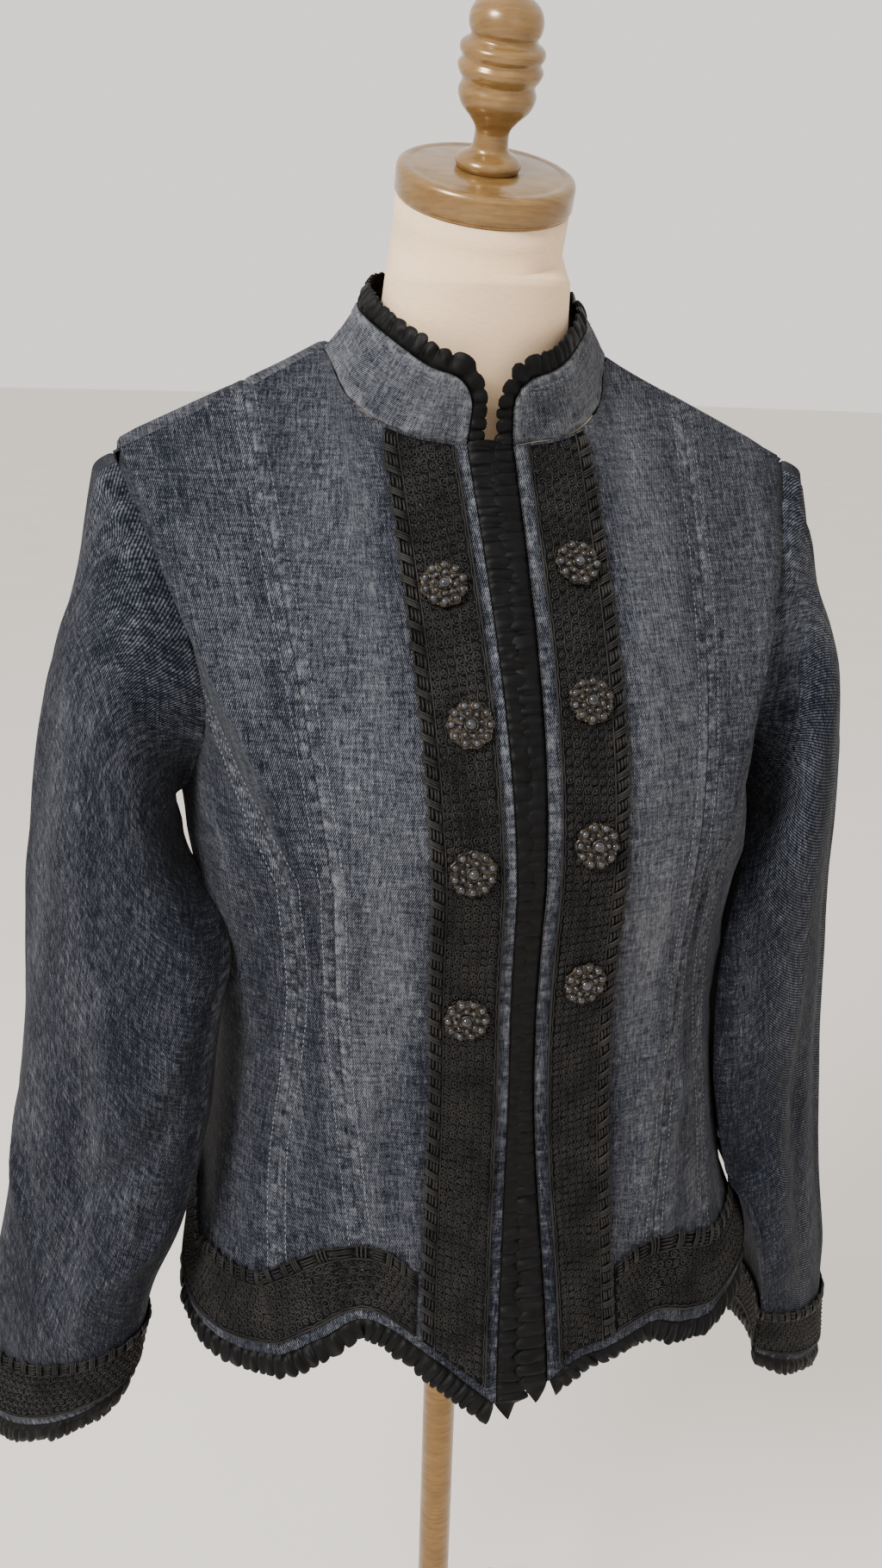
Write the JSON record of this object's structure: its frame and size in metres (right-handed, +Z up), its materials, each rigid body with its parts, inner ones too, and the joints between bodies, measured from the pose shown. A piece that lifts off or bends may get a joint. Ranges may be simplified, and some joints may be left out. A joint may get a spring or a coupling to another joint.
{
  "type": "denim jacket on a dress form",
  "caption": "Fitted, princess-seamed long-sleeved denim jacket with lace and velvet ruffle trim, hanging open on a limbless dress form on a tripod pole stand.",
  "frame": {"origin": "on the floor, on the axis of the stand's pole", "axes": "+Z up the pole, -Y out of the front of the jacket, +X towards the wearer's left"},
  "size_m": [0.6507, 0.4927, 1.5024],
  "materials": {
    "denim": "charcoal blue denim twill with paler worn streaks",
    "black_lace": "matt black corded lace",
    "black_velvet": "gathered black velvet ribbon",
    "dark_jewel": "dark faceted stones in antiqued metal",
    "linen": "smooth cream linen",
    "gold_wood": "glossy antique gold paint",
    "gold_metal": "antique gold metal"
  },
  "bodies": {
    "root": {"back_centre": "denim", "brooch_left_1": "dark_jewel", "brooch_left_2": "dark_jewel", "brooch_left_3": "dark_jewel", "brooch_left_4": "dark_jewel", "brooch_right_1": "dark_jewel", "brooch_right_2": "dark_jewel", "brooch_right_3": "dark_jewel", "brooch_right_4": "dark_jewel", "collar": "denim", "form_body": "linen", "form_finial": "gold_wood", "form_neck_cap": "gold_wood", "front_left": "denim", "front_right": "denim", "lace_cuff_left": "black_lace", "lace_cuff_right": "black_lace", "lace_front_left": "black_lace", "lace_front_right": "black_lace", "lace_hem_back": "black_lace", "lace_hem_left": "black_lace", "lace_hem_right": "black_lace", "ruffle_collar": "black_velvet", "ruffle_cuff_left": "black_velvet", "ruffle_cuff_right": "black_velvet", "ruffle_front_left": "black_velvet", "ruffle_front_right": "black_velvet", "ruffle_hem_back": "black_velvet", "ruffle_hem_left": "black_velvet", "ruffle_hem_right": "black_velvet", "side_back_left": "denim", "side_back_right": "denim", "side_front_left": "denim", "side_front_right": "denim", "side_panel_left": "denim", "side_panel_right": "denim", "sleeve_left": "denim", "sleeve_right": "denim", "stand_foot_1": "gold_metal", "stand_foot_2": "gold_metal", "stand_foot_3": "gold_metal", "stand_hub": "gold_metal", "stand_leg_1": "gold_metal", "stand_leg_2": "gold_metal", "stand_leg_3": "gold_metal", "stand_pole": "gold_metal"}
  },
  "joints": []
}
